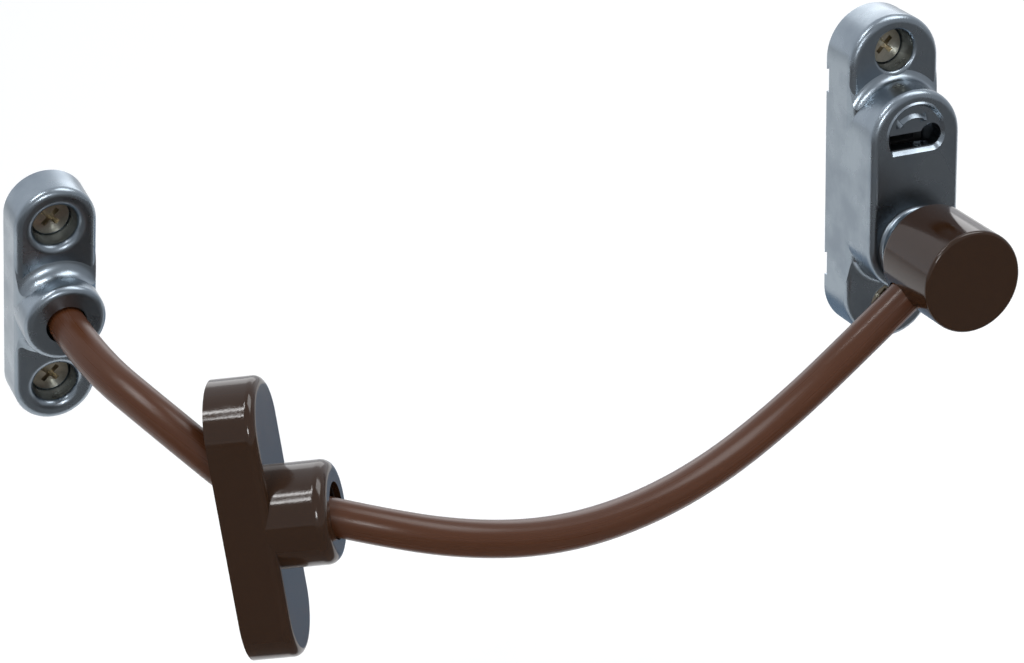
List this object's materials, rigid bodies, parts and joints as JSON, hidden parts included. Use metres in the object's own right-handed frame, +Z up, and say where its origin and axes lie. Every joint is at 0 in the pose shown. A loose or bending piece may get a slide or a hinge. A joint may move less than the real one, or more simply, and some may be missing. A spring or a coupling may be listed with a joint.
{
  "type": "locking cable window restrictor",
  "caption": "Key-locking window restrictor: a cast lock body takes a round plug on a coated steel cable that runs to a small cast fixing bracket with a slide-on cover.",
  "frame": {"origin": "centre of the lock body's back face, where it meets the window frame", "axes": "+X along the window from the bracket to the lock, +Y into the window frame behind the lock, +Z up along the lock body"},
  "size_m": [0.1982, 0.0881, 0.0964],
  "materials": {
    "zinc_casting": "die-cast zinc, bright passivated",
    "zinc_plated_steel": "zinc plated",
    "bare_steel": "turned",
    "yellow_zinc_steel": "yellow passivated zinc",
    "brown_plastic": "smooth moulded",
    "brown_pvc": "extruded coating"
  },
  "bodies": {
    "base": {"lock_body": "zinc_casting", "lock_back_plate": "zinc_plated_steel", "back_plate_screws": "zinc_plated_steel", "latch_spring": "bare_steel", "lock_screw_upper": "yellow_zinc_steel", "lock_screw_lower": "yellow_zinc_steel", "cable": "brown_pvc", "bracket_body": "zinc_casting", "bracket_wire_stop": "bare_steel", "bracket_screw_upper": "yellow_zinc_steel", "bracket_screw_lower": "yellow_zinc_steel"},
    "sleeve": {"plug_sleeve": "bare_steel"},
    "plug": {"plug_cap": "brown_plastic", "plug_spindle": "bare_steel", "plug_clip": "bare_steel", "plug_wire_stop": "bare_steel"},
    "latch": {"latch_plate": "bare_steel"},
    "cover": {"bracket_cover": "brown_plastic"}
  },
  "joints": [
    {"name": "plug_release", "type": "slide", "parent": "base", "child": "sleeve", "axis": [0, -1, 0], "range_m": [0, 0.017], "deforming": ["cable"]},
    {"name": "plug_swivel", "type": "hinge", "parent": "sleeve", "child": "plug", "pos_m": [0, -0.0305, -0.0114], "axis": [0, -1, 0], "range_deg": [-40, 40], "deforming": ["cable"]},
    {"name": "latch_drop", "type": "slide", "parent": "base", "child": "latch", "axis": [0, 0, -1], "range_m": [0, 0.0022], "deforming": ["latch_spring"]},
    {"name": "cover_slide", "type": "slide", "parent": "base", "child": "cover", "axis": [0.8516, -0.4558, -0.2589], "range_m": [-0.004, 0.0075], "deforming": ["cable"]}
  ]
}
